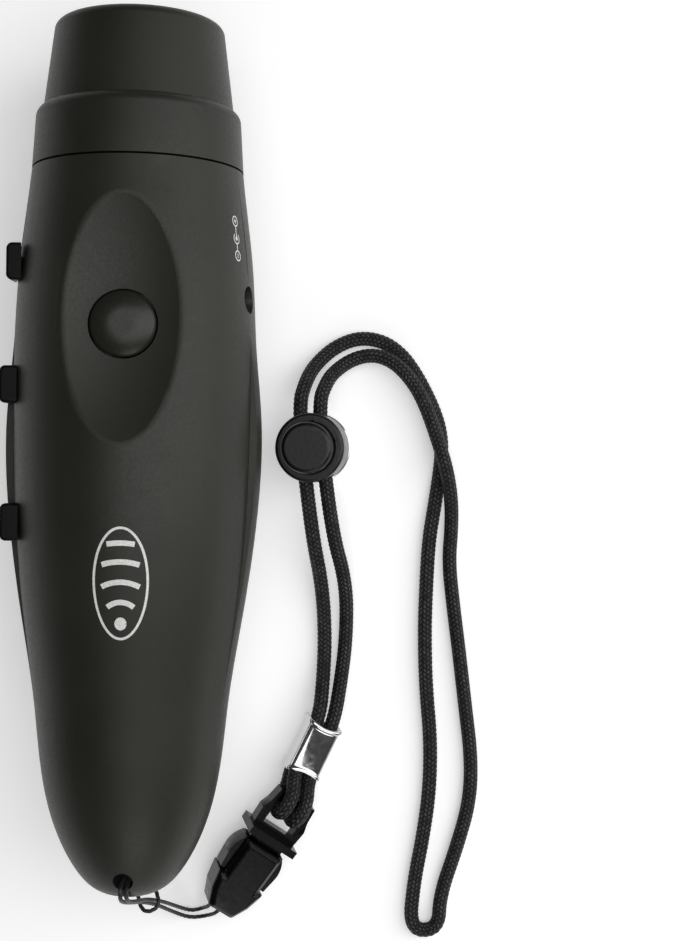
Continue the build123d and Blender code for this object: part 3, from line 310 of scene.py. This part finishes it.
# ---------------------------------------------------------------- cords
def spline_line(name, route):
    """Points, in millimetres, along the smooth line that a cord's route controls."""
    curve = bpy.data.curves.new(name, "CURVE")
    curve.dimensions = "3D"
    curve.resolution_u = 24
    spline = curve.splines.new("NURBS")
    spline.points.add(len(route) - 1)
    for control, point in zip(spline.points, route):
        control.co = (*(Vector(point) * MM), 1)
    spline.order_u = 3
    spline.use_endpoint_u = True
    holder = bpy.data.objects.new(name, curve)
    bpy.context.collection.objects.link(holder)
    mesh = bpy.data.meshes.new_from_object(holder)
    points = np.array([vertex.co[:] for vertex in mesh.vertices]) / MM
    bpy.data.meshes.remove(mesh)
    bpy.data.objects.remove(holder)
    bpy.data.curves.remove(curve)
    return points


def even_steps(points, step):
    """The same line with its points an even step apart, and its length."""
    lengths = np.linalg.norm(np.diff(points, axis=0), axis=1)
    keep = np.concatenate(([True], lengths > 1e-6))
    points = points[keep]
    along = np.concatenate(([0], np.cumsum(np.linalg.norm(np.diff(points, axis=0), axis=1))))
    count = int(along[-1] / step)
    wanted = np.linspace(0, along[-1], count + 1)
    return np.stack([np.interp(wanted, along, points[:, axis]) for axis in range(3)], axis=1), along[-1]


def carried_frames(points):
    """Two unit vectors across the line at each point, carried along it without twist."""
    tangents = np.gradient(points, axis=0)
    tangents /= np.linalg.norm(tangents, axis=1)[:, None]
    first = np.zeros_like(points)
    side = np.cross(tangents[0], (0.0, 0.0, 1.0))
    if np.linalg.norm(side) < 0.1:
        side = np.cross(tangents[0], (0.0, 1.0, 0.0))
    for index, tangent in enumerate(tangents):
        side = side - tangent * side.dot(tangent)
        side /= np.linalg.norm(side)
        first[index] = side
    return first, np.cross(tangents, first)


def sheath(name, route, diameter, step, around, relief, pitch, material):
    """A cord's tube along its route; relief(turn, along) is the skin's height over its radius."""
    points, length = even_steps(spline_line(name + "_line", route), step)
    across, up = carried_frames(points)
    turn = np.arange(around) / around
    along = np.arange(len(points)) * length / (len(points) - 1)
    height = relief(turn[None, :], along[:, None] / pitch)
    radius = diameter / 2 + height
    angle = 2 * math.pi * turn
    ring = (
        across[:, None, :] * np.cos(angle)[None, :, None] + up[:, None, :] * np.sin(angle)[None, :, None]
    )
    vertices = (points[:, None, :] + ring * radius[:, :, None]).reshape(-1, 3)
    rows = np.arange(len(points) - 1)[:, None] * around
    columns = np.arange(around)[None, :]
    beside = (columns + 1) % around
    quads = np.stack(
        [rows + columns, rows + beside, rows + around + beside, rows + around + columns], axis=-1
    ).reshape(-1, 4)
    first_cap = len(vertices)
    last_row = (len(points) - 1) * around
    vertices = np.vstack([vertices, points[0], points[-1]])
    faces = quads.tolist()
    for column in range(around):
        after = (column + 1) % around
        faces.append((first_cap, after, column))
        faces.append((first_cap + 1, last_row + column, last_row + after))
    piece = add_mesh(name, vertices.tolist(), faces, material)
    uv_layer = piece.data.uv_layers.new(name="weave")
    turn_grid = np.stack([columns, columns + 1, columns + 1, columns], axis=-1) / around
    turn_grid = np.broadcast_to(turn_grid, (len(points) - 1, around, 4))
    along_grid = np.stack([along[:-1], along[:-1], along[1:], along[1:]], axis=-1) / pitch
    along_grid = np.broadcast_to(along_grid[:, None, :], (len(points) - 1, around, 4))
    coordinates = np.stack([turn_grid, along_grid], axis=-1).reshape(-1)
    padding = np.zeros(len(uv_layer.data) * 2 - len(coordinates))
    uv_layer.data.foreach_set("uv", np.concatenate([coordinates, padding]))
    return piece, points, length


CARRIERS = 12                # yarns each way round the braid
BRAID_PITCH = 8.6            # length of one full turn of a yarn
BRAID_DEPTH = 0.16
YARN_FIBRES = 5
PLIES = 3                    # twisted into the thread
PLY_PITCH = 2.6
PLY_DEPTH = 0.09


def braid_relief(turn, along):
    """Height of a two-over, two-under braid."""
    one = CARRIERS * (turn + along)
    other = CARRIERS * (turn - along)
    place_in_four = np.mod(np.floor(one) + np.floor(other), 4)
    one_over = place_in_four < 2
    over_edge = np.where(one_over, np.mod(one, 1), np.mod(other, 1))
    float_start = np.where(
        one_over,
        np.mod(np.floor(one) + other, 4) / 2,
        (np.mod(np.floor(other) + one, 4) - 2) / 2,
    )
    crown = np.sin(math.pi * over_edge) ** 0.6
    rise = 0.45 + 0.55 * np.sin(math.pi * np.clip(float_start, 0, 1))
    return BRAID_DEPTH * (crown * rise - 1)


def ply_relief(turn, along):
    """Height of plies twisted round each other."""
    return PLY_DEPTH * (np.abs(np.cos(math.pi * PLIES * (turn - along))) ** 0.7 - 1)


def calculate(tree, operation, first, second=None):
    """The output of one math node; each input is a node's output or a number."""
    node = add_node(tree, "ShaderNodeMath", operation=operation)
    for socket, value in zip(node.inputs, (first, second)):
        if value is None:
            continue
        if isinstance(value, (int, float)):
            socket.default_value = value
        else:
            tree.links.new(value, socket)
    return node.outputs["Value"]


def choice(tree, factor, first, second):
    """The number first where factor is 0, and second where it is 1."""
    node = add_node(tree, "ShaderNodeMix", data_type="FLOAT")
    tree.links.new(factor, node.inputs["Factor"])
    tree.links.new(first, node.inputs["A"])
    tree.links.new(second, node.inputs["B"])
    return node.outputs["Result"]


def braid_material():
    """Black braided cord: a painted highlight lightens the colour on the crown of each yarn float, spotted
    by flecks of lighter fibre, with fine fibres in each.
    """
    material, tree, shader = new_material("black_braid", (0.006, 0.006, 0.006), 0.5, specular=0.3)
    coordinates = add_node(tree, "ShaderNodeUVMap", uv_map="weave")
    parts = add_node(tree, "ShaderNodeSeparateXYZ")
    tree.links.new(coordinates.outputs["UV"], parts.inputs["Vector"])
    turn = parts.outputs["X"]
    along = parts.outputs["Y"]
    one = calculate(tree, "MULTIPLY", calculate(tree, "ADD", turn, along), CARRIERS)
    other = calculate(tree, "MULTIPLY", calculate(tree, "SUBTRACT", turn, along), CARRIERS)
    steps = calculate(tree, "ADD", calculate(tree, "FLOOR", one), calculate(tree, "FLOOR", other))
    one_over = calculate(tree, "LESS_THAN", calculate(tree, "FLOORED_MODULO", steps, 4.0), 2.0)
    fibre_turns = 2 * math.pi * YARN_FIBRES
    fibre_one = calculate(tree, "SINE", calculate(tree, "MULTIPLY", one, fibre_turns))
    fibre_other = calculate(tree, "SINE", calculate(tree, "MULTIPLY", other, fibre_turns))
    fibres = choice(tree, one_over, fibre_other, fibre_one)
    edge_one = calculate(tree, "FRACT", one)
    edge_other = calculate(tree, "FRACT", other)
    across_yarn = choice(tree, one_over, edge_other, edge_one)
    float_one = calculate(tree, "ADD", calculate(tree, "FLOOR", one), other)
    float_other = calculate(tree, "ADD", calculate(tree, "FLOOR", other), one)
    along_one = calculate(tree, "FLOORED_MODULO", float_one, 4.0)
    along_other = calculate(tree, "SUBTRACT", calculate(tree, "FLOORED_MODULO", float_other, 4.0), 2.0)
    along_float = calculate(tree, "MULTIPLY", choice(tree, one_over, along_other, along_one), math.pi / 2)
    crown = calculate(tree, "SINE", calculate(tree, "MULTIPLY", across_yarn, math.pi))
    rise = calculate(tree, "MAXIMUM", calculate(tree, "SINE", along_float), 0.0)
    # Painted highlight: the colour is lightened on each yarn's crown along its float, where light catches
    # it, mixed with flecks of lighter fibre
    painted_crown_highlight = calculate(tree, "POWER", calculate(tree, "MULTIPLY", crown, rise), 2.5)
    flecks = spread(tree, noise(tree, 0.9, detail=3.0), 0.15, 1)
    fleck_and_painted_highlight = calculate(tree, "MULTIPLY", painted_crown_highlight, flecks)
    color = tint(tree, fleck_and_painted_highlight, (0.0005, 0.0005, 0.0005), (0.12, 0.13, 0.12))
    tree.links.new(color, shader.inputs["Base Color"])
    tree.links.new(spread(tree, flecks, 0.5, 0.42), shader.inputs["Roughness"])
    shader.inputs["Sheen Weight"].default_value = 0.02
    shader.inputs["Sheen Roughness"].default_value = 0.5
    bump(tree, fibres, 0.012, shader)
    return material


braid_finish = braid_material()
thread_finish, thread_tree, thread_shader = new_material("black_thread", (0.010, 0.010, 0.010), 0.5)
thread_shader.inputs["Sheen Weight"].default_value = 0.1
thread_fibres = noise(thread_tree, 6.0, detail=3.0)
thread_light = spread(thread_tree, thread_fibres, 0, 1)
thread_color = tint(thread_tree, thread_light, (0.002, 0.002, 0.002), (0.012, 0.012, 0.012))
thread_tree.links.new(thread_color, thread_shader.inputs["Base Color"])
bump(thread_tree, thread_fibres, 0.02, thread_shader)


def bar_fold(side):
    """The strand on one side, from the ferrule round the buckle's bar and back, low leg first."""
    leg = ferrule_length - LEG_SHORT
    return (
        place(ferrule_frame, (leg, side * STRAND, -STRAND), (0, side * STRAND, -STRAND))
        + place(
            buckle_frame,
            (BAR_S + 1.0, side * FOLD_STRAND, -FOLD),
            (BAR_S - FOLD - 0.1, side * FOLD_STRAND, -FOLD),
            (BAR_S - FOLD - 0.1, side * FOLD_STRAND, FOLD),
            (BAR_S + 1.0, side * FOLD_STRAND, FOLD),
        )
        + place(ferrule_frame, (0, side * STRAND, STRAND), (ferrule_length, side * STRAND, STRAND))
    )


lock_run_start = -LOCK_TRAVEL - LOCK_RADIUS - LOCK_RUN_BEFORE
lock_run_end = LOCK_RADIUS + LOCK_RUN_AFTER

wrist_route = bar_fold(1) + [
    (28.1, -37.6, 1.8),
    (28.35, -30.5, 1.2),
    (27.8, -22.3, 2.6),
] + place(lock_frame, (-LOCK_STRAND, lock_run_start, 0), (-LOCK_STRAND, lock_run_end, 0)) + [
    (24.9, 10.2, 4.4),
    (26.5, 12.9, 2.2),
    (29.4, 15.6, 1.2),
    (33.2, 17.1, 1.2),
    (37.1, 16.5, 1.2),
    (40.0, 14.4, 1.2),
    (42.0, 11.7, 1.2),
    (43.6, 8.9, 1.2),
    (45.1, 5.8, 1.2),
    (46.2, 2.5, 1.2),
    (46.5, -1.0, 1.2),
    (46.1, -5.0, 1.2),
    (45.4, -9.8, 1.2),
    (44.6, -15.0, 1.2),
    (44.3, -21.5, 1.2),
    (44.1, -29.2, 1.2),
    (44.4, -38.0, 1.2),
    (45.3, -46.8, 1.2),
    (45.2, -55.0, 1.2),
    (44.2, -62.4, 1.2),
    (42.9, -69.4, 1.2),
    (42.3, -76.9, 1.2),
    (46.9, -76.8, 1.2),
    (47.1, -71.2, 1.2),
    (49.6, -63.8, 1.2),
    (51.6, -56.5, 1.2),
    (51.8, -49.6, 1.2),
    (50.7, -41.2, 1.2),
    (49.7, -33.2, 1.2),
    (48.6, -25.2, 1.2),
    (47.8, -18.4, 1.2),
    (48.2, -12.6, 1.3),
    (48.0, -8.2, 2.4),
    (47.2, -4.0, 3.7),
    (46.1, -0.4, 3.8),
    (45.0, 2.8, 3.8),
    (43.8, 6.0, 3.8),
    (42.3, 9.0, 3.8),
    (40.3, 11.6, 3.6),
    (38.0, 13.5, 3.0),
    (35.2, 14.3, 2.4),
    (32.2, 13.6, 2.2),
    (29.6, 11.8, 2.8),
    (28.2, 10.0, 4.4),
] + place(lock_frame, (LOCK_STRAND, lock_run_end, 0), (LOCK_STRAND, lock_run_start, 0)) + [
    (31.6, -21.9, 2.6),
    (31.7, -30.5, 1.2),
    (30.9, -37.6, 1.8),
] + bar_fold(-1)[::-1]

wrist_cord, wrist_line, wrist_length = sheath(
    "wrist_cord_braid",
    wrist_route,
    diameter=CORD,
    step=0.13,
    around=60,
    relief=braid_relief,
    pitch=BRAID_PITCH,
    material=braid_finish,
)
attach(wrist_cord, "strap")
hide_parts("wrist_cord")

thread_route = place(buckle_frame, (2.0, -THREAD_GRIP, 0), (-0.9, -THREAD_GRIP, -0.2)) + [
    (10.2, -75.1, 0.9),
    (7.4, -75.6, 0.6),
    (5.0, -73.9, 3.4),
    (2.9, -71.3, 8.6),
    (1.2, -69.4, 14.0),
    (0.2, -68.3, 18.6),
    (-THREAD_GAP, -67.1, 22.6),
    (-THREAD_GAP, -66.1, 24.9),
    (-THREAD_GAP, -64.95, 25.35),
    (-THREAD_GAP, -64.2, 24.5),
    (-THREAD_GAP, -64.2, 9.6),
    (-THREAD_GAP - 0.1, -66.2, 8.6),
    (0.1, -68.7, 10.6),
    (1.3, -71.6, 12.7),
    (4.0, -70.6, 12.7),
    (2.9, -67.9, 10.6),
    (THREAD_GAP + 0.2, -66.2, 8.6),
    (THREAD_GAP, -64.2, 9.6),
    (THREAD_GAP, -64.2, 24.5),
    (THREAD_GAP, -64.95, 25.35),
    (THREAD_GAP, -66.1, 24.9),
    (THREAD_GAP + 0.1, -67.1, 22.6),
    (1.2, -68.1, 18.6),
    (2.1, -69.0, 14.0),
    (3.8, -70.8, 8.6),
    (5.8, -73.1, 3.4),
    (7.7, -74.5, 0.6),
    (9.7, -73.8, 0.9),
] + place(buckle_frame, (-0.9, THREAD_GRIP, -0.2), (2.7, THREAD_GRIP, 0), (2.7, -0.6, 0))

tail_thread, thread_line, thread_length = sheath(
    "tail_loop_thread",
    thread_route,
    diameter=THREAD,
    step=0.14,
    around=18,
    relief=ply_relief,
    pitch=PLY_PITCH,
    material=thread_finish,
)
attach(tail_thread, "whistle")
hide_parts("tail_loop")


# ---------------------------------------------------------------- ferrule
FERRULE_HALF_WIDTH = 2.7
SQUARENESS = 5.0             # 2 is a round section, and more is squarer
FERRULE_WALL = 0.3
FERRULE_DIP = 0.6            # the ends are cut back by this in the middle of the two broad faces
RIM = 0.3                    # height of the rolled rims
SEAM_DEPTH = 0.16            # of the seam where the wrapped sheet meets
SEAM_TURN = 0.098            # its place round the section, in turns
SEAM_HALF_WIDTH = 0.006      # in turns
FERRULE_COLUMNS = 160


def ferrule_section(turn):
    """Point on the ferrule's section, its outward direction and how near it is to the wrap's seam."""
    angle = 2 * math.pi * turn
    circle = (math.cos(angle), math.sin(angle))
    unit = [math.copysign(abs(part) ** (2 / SQUARENESS), part) for part in circle]
    outward = [math.copysign(abs(part) ** (SQUARENESS - 1), part) for part in unit]
    seam = math.exp(-(((turn - SEAM_TURN) / SEAM_HALF_WIDTH) ** 2))
    return Vector(unit) * FERRULE_HALF_WIDTH, Vector(outward).normalized(), seam


# Each row of the shell is a distance from its end and a height over its flat wall
rim_rows = [(0.0, -0.06), (0.04, 0.14), (0.2, RIM), (0.45, RIM), (0.7, 0.16), (0.85, 0.03), (1.05, 0.0)]
outer_rows = rim_rows + [(ferrule_length - along, rise) for along, rise in reversed(rim_rows)]
inner_rows = [(ferrule_length, -FERRULE_WALL), (ferrule_length / 2, -FERRULE_WALL), (0.0, -FERRULE_WALL)]
ferrule_rows = outer_rows + inner_rows
ferrule_vertices = []
for row, (along, rise) in enumerate(ferrule_rows):
    for column in range(FERRULE_COLUMNS):
        spot, outward, seam = ferrule_section(column / FERRULE_COLUMNS)
        dip = FERRULE_DIP * max(0.0, 1 - (spot.x / FERRULE_HALF_WIDTH) ** 2)
        groove = SEAM_DEPTH * seam if row < len(outer_rows) else 0.0
        spot = spot + outward * (rise - groove)
        place_along = dip + along * (1 - 2 * dip / ferrule_length)
        ferrule_vertices.append(place(ferrule_frame, (place_along, spot.x, spot.y))[0])
ferrule_faces = []
for row in range(len(ferrule_rows)):
    after = (row + 1) % len(ferrule_rows)
    for column in range(FERRULE_COLUMNS):
        beside = (column + 1) % FERRULE_COLUMNS
        ferrule_faces.append((
            row * FERRULE_COLUMNS + column,
            row * FERRULE_COLUMNS + beside,
            after * FERRULE_COLUMNS + beside,
            after * FERRULE_COLUMNS + column,
        ))
ferrule_shell = add_mesh("ferrule_shell", ferrule_vertices, ferrule_faces, ferrule_finish)
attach(ferrule_shell, "strap")
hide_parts("ferrule")


# ---------------------------------------------------------------- springy pieces
def flattening_copy(name, node_name, body):
    """A copy of a CAD spring on a body, in place of the hidden CAD node, with a mesh of its own."""
    source = nodes[node_name]
    piece = bpy.data.objects.new(name, source.data.copy())
    bpy.context.collection.objects.link(piece)
    piece.matrix_world = source.matrix_world.copy()
    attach(piece, body)
    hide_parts(node_name)
    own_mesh(piece)


flattening_copy(
    "lock_spring", "cord_lock_spring", "cord_lock"
)
flattening_copy(
    "switch_dome", "snap_dome", "whistle"
)


# ---------------------------------------------------------------- printed marks
SKIN_RADIUS = 17.2           # turns a distance round the casing into an angle
RAY_START = 30               # from the long axis, well outside the casing
INK_RISE = 0.03              # of a printed mark over the skin
MARK_Y = -20.0
MARK_HALF_WIDTH = 3.95
MARK_HALF_LENGTH = 7.9
MARK_LINE = 0.36
WAVE_LINE = 0.75
WAVES = [(3.0, 50), (5.8, 62), (8.6, 72), (11.2, 80)]  # radius, and angle where each one starts


def on_skin(around, y):
    """The front casing's skin at a distance round from its top and a place along it."""
    turn = around / SKIN_RADIUS
    outward = Vector((math.sin(turn), 0, math.cos(turn)))
    start = (Vector((0, y, AXIS_Z)) + outward * RAY_START) * MM
    _, point, normal, _ = nodes["front_casing"].ray_cast(start, -outward)
    return point / MM + normal * INK_RISE


def ink_stroke(vertices, faces, path, width):
    """Add one printed stroke along a path of (around, along) points."""
    path = [Vector(point) for point in path]
    start = len(vertices)
    for index, point in enumerate(path):
        before = path[max(index - 1, 0)]
        after = path[min(index + 1, len(path) - 1)]
        along = (after - before).normalized()
        side = Vector((-along.y, along.x))
        for offset in (-0.5, 0, 0.5):
            spot = point + side * width * offset
            vertices.append(on_skin(spot.x, spot.y))
    for row in range(len(path) - 1):
        for column in range(2):
            corner = start + 3 * row + column
            faces.append((corner, corner + 1, corner + 4, corner + 3))


def arc_path(centre, radius, start, end, steps, squeeze=1.0):
    """Points along an arc; angles in degrees from +around towards +along."""
    angles = [math.radians(start + (end - start) * step / steps) for step in range(steps + 1)]
    return [
        (centre[0] + radius * squeeze * math.cos(angle), centre[1] + radius * math.sin(angle))
        for angle in angles
    ]


def mark(name, strokes):
    """A printed mark on the front casing made of strokes, each a path and a width."""
    vertices = []
    faces = []
    for path, width in strokes:
        ink_stroke(vertices, faces, path, width)
    piece = add_mesh(name, vertices, faces, ink)
    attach(piece, "whistle")


# A sound-wave sign in an oval: a dot and four arcs over it
mark_centre = (0.4, MARK_Y)
squeeze = MARK_HALF_WIDTH / MARK_HALF_LENGTH
wave_centre = (0.4, MARK_Y - 5.6)
wave_strokes = [
    (arc_path(mark_centre, MARK_HALF_LENGTH - 0.2, 0, 360, 120, squeeze), MARK_LINE),
    (arc_path(wave_centre, 0.45, 0, 360, 24), 0.9),
]
for radius, start in WAVES:
    wave_strokes.append((arc_path(wave_centre, radius, start, 180 - start, 24), WAVE_LINE))
mark("wave_mark", wave_strokes)


# The usual polarity symbol by the charging jack: a minus and a plus in rings, joined to a dot in an arc
POLARITY_AROUND = 19.4
POLARITY_Y = 29.0
POLARITY_STEP = 2.5
POLARITY_LINE = 0.17


def bar(centre, half_around, half_along):
    """A short straight stroke through centre."""
    return [
        (centre[0] - half_around, centre[1] - half_along),
        centre,
        (centre[0] + half_around, centre[1] + half_along),
    ]


jack_centre = (POLARITY_AROUND, POLARITY_Y)
minus_centre = (POLARITY_AROUND, POLARITY_Y - POLARITY_STEP)
plus_centre = (POLARITY_AROUND, POLARITY_Y + POLARITY_STEP)
polarity_strokes = [
    (arc_path(jack_centre, 0.16, 0, 360, 12), 0.32),
    (arc_path(jack_centre, 0.75, 130, 410, 24), POLARITY_LINE),
    (bar((POLARITY_AROUND, POLARITY_Y + 0.95), 0, 0.8), POLARITY_LINE),
    (bar((POLARITY_AROUND, POLARITY_Y - 1.3), 0, 0.5), POLARITY_LINE),
    (bar(minus_centre, 0, 0.36), POLARITY_LINE),
    (bar(plus_centre, 0, 0.36), POLARITY_LINE),
    (bar(plus_centre, 0.36, 0), POLARITY_LINE),
]
for ring_centre in (minus_centre, plus_centre):
    polarity_strokes.append((arc_path(ring_centre, 0.7, 0, 360, 24), POLARITY_LINE))
mark("polarity_mark", polarity_strokes)


# ---------------------------------------------------------------- camera, stage and lights
CAMERA_PLACE = (30.28, -4.08, 249.0)
CAMERA_ROLL = 0.73           # degrees, turns the whistle's mouth to the right
LENS = 59.68
SENSOR = 36.0
FLOOR_HALF = 1500
FLOOR_DROP = 0.1             # below the row's zero, so that nothing lies in the same plane
FLOOR_GLOW = 0.36
WORLD_LIGHT = 0.07

camera_data = bpy.data.cameras.new("camera")
camera_data.sensor_width = SENSOR
camera_data.lens = LENS
camera_data.clip_start = 0.01
camera_data.clip_end = 5
camera = bpy.data.objects.new("camera", camera_data)
bpy.context.collection.objects.link(camera)
camera.location = Vector(CAMERA_PLACE) * MM
camera.rotation_euler = (0, 0, math.radians(CAMERA_ROLL))
bpy.context.scene.camera = camera

floor_mesh = bpy.data.meshes.new("floor")
reach = FLOOR_HALF * MM
floor_corners = [(-reach, -reach, 0), (reach, -reach, 0), (reach, reach, 0), (-reach, reach, 0)]
floor_mesh.from_pydata(floor_corners, [], [(0, 1, 2, 3)])
floor = bpy.data.objects.new("floor", floor_mesh)
bpy.context.collection.objects.link(floor)
floor.location.z = -FLOOR_DROP * MM
white, _, white_shader = new_material("white_paper", (0.86, 0.86, 0.86), 0.9)
white_shader.inputs["Emission Color"].default_value = (1, 1, 1, 1)
white_shader.inputs["Emission Strength"].default_value = FLOOR_GLOW
floor_mesh.materials.append(white)

world = bpy.data.worlds.new("studio")
world.use_nodes = True
background = world.node_tree.nodes["Background"]
background.inputs["Color"].default_value = (1, 1, 1, 1)
background.inputs["Strength"].default_value = WORLD_LIGHT
bpy.context.scene.world = world
bpy.context.scene.view_settings.view_transform = "Standard"


def softbox(name, place_at, aim, size, power):
    """A rectangular area light at a place, facing aim, in millimetres and watts."""
    data = bpy.data.lights.new(name, "AREA")
    data.shape = "RECTANGLE"
    data.size = size[0] * MM
    data.size_y = size[1] * MM
    data.energy = power
    light = bpy.data.objects.new(name, data)
    bpy.context.collection.objects.link(light)
    light.location = Vector(place_at) * MM
    direction = Vector(aim) - Vector(place_at)
    light.rotation_euler = direction.to_track_quat("-Z", "Y").to_euler()


softbox("key", place_at=(290, 60, 430), aim=(0, 0, 18), size=(440, 1150), power=3.5)
softbox("front", place_at=(90, -420, 280), aim=(0, -50, 18), size=(260, 260), power=0.45)
